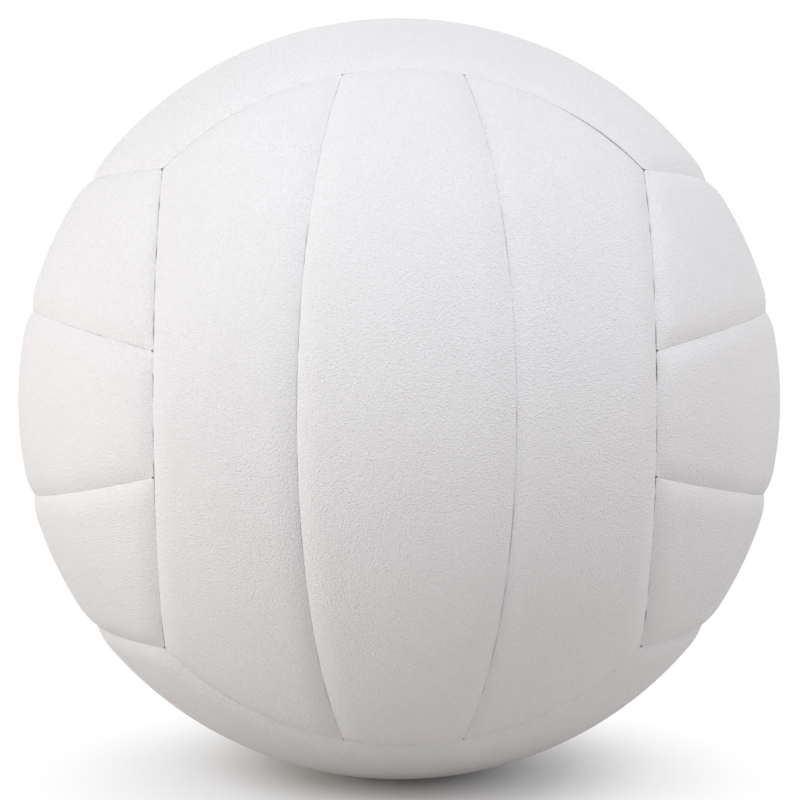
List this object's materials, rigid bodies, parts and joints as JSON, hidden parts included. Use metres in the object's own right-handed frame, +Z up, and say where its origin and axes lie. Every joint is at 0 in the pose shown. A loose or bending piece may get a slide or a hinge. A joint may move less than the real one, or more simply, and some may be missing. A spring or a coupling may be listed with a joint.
{
  "type": "volleyball",
  "caption": "White indoor volleyball: padded leather strips over foam, carcass, thread winding and an air bladder, with a pump valve whose plug pulls out.",
  "frame": {"origin": "centre of the ball", "axes": "+Z up through the valve, -Y to the front, where three upright strips face the viewer, +X to the right"},
  "size_m": [0.21, 0.21, 0.2099],
  "materials": {
    "cover_leather": "matte white synthetic leather with a fine grain",
    "backing_foam": "soft closed-cell foam",
    "carcass_rubber": "thin moulded rubber",
    "winding_thread": "wound thread set in latex",
    "bladder_rubber": "smooth butyl rubber",
    "valve_rubber": "matte moulded rubber",
    "insert_rubber": "soft moulded rubber"
  },
  "bodies": {
    "ball": {"front_left_cover": "cover_leather", "front_middle_cover": "cover_leather", "front_right_cover": "cover_leather", "back_left_cover": "cover_leather", "back_middle_cover": "cover_leather", "back_right_cover": "cover_leather", "left_lower_cover": "cover_leather", "left_middle_cover": "cover_leather", "left_upper_cover": "cover_leather", "right_lower_cover": "cover_leather", "right_middle_cover": "cover_leather", "right_upper_cover": "cover_leather", "top_front_cover": "cover_leather", "top_middle_cover": "cover_leather", "top_back_cover": "cover_leather", "bottom_front_cover": "cover_leather", "bottom_middle_cover": "cover_leather", "bottom_back_cover": "cover_leather", "front_left_foam": "backing_foam", "front_middle_foam": "backing_foam", "front_right_foam": "backing_foam", "back_left_foam": "backing_foam", "back_middle_foam": "backing_foam", "back_right_foam": "backing_foam", "left_lower_foam": "backing_foam", "left_middle_foam": "backing_foam", "left_upper_foam": "backing_foam", "right_lower_foam": "backing_foam", "right_middle_foam": "backing_foam", "right_upper_foam": "backing_foam", "top_front_foam": "backing_foam", "top_middle_foam": "backing_foam", "top_back_foam": "backing_foam", "bottom_front_foam": "backing_foam", "bottom_middle_foam": "backing_foam", "bottom_back_foam": "backing_foam", "carcass": "carcass_rubber", "winding": "winding_thread", "bladder": "bladder_rubber", "balance_patch": "bladder_rubber", "valve_housing": "valve_rubber"},
    "valve_plug": {"valve_insert": "insert_rubber"}
  },
  "joints": [
    {"name": "plug_pull", "type": "slide", "parent": "ball", "child": "valve_plug", "axis": [0, 0, 1], "range_m": [0, 0.014]}
  ]
}
